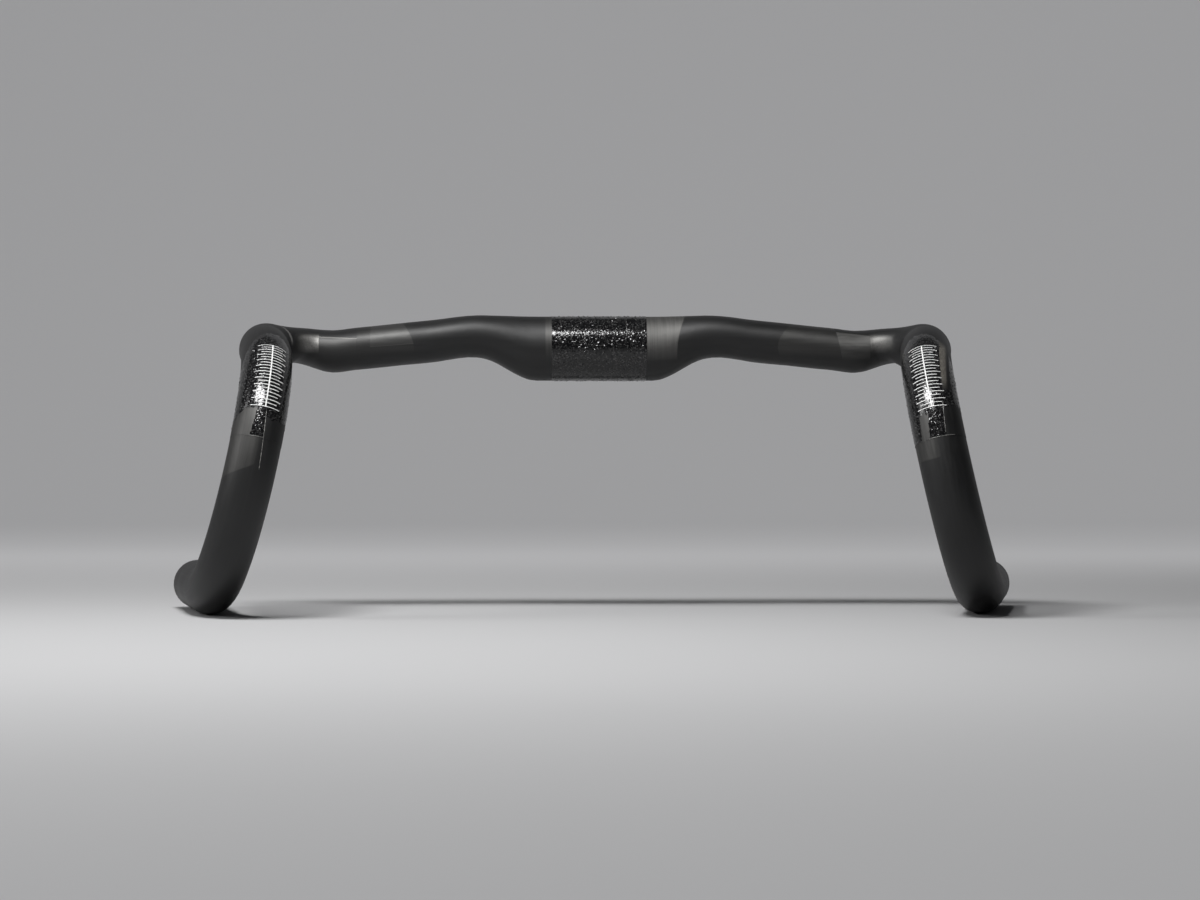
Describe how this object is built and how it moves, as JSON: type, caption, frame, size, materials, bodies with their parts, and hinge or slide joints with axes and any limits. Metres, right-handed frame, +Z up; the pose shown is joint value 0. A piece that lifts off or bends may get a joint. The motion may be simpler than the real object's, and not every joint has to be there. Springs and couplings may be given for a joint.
{
  "type": "track handlebar",
  "caption": "One-piece carbon-fibre drop handlebar for track racing, with a round stem clamp, flattened tops and flared, toed-in drops.",
  "frame": {"origin": "centre of the stem clamp, on the clamp's axis", "axes": "+X along the clamp's axis to the right as seen from the front, -Y the way the bar faces when ridden, +Z up with the bar standing on the straight ends of its drops"},
  "size_m": [0.4192, 0.1285, 0.1453],
  "materials": {
    "carbon": "satin black carbon-fibre laminate, gritty at the stem clamp and the lever hoods"
  },
  "bodies": {
    "root": {"handlebar": "carbon"}
  },
  "joints": []
}
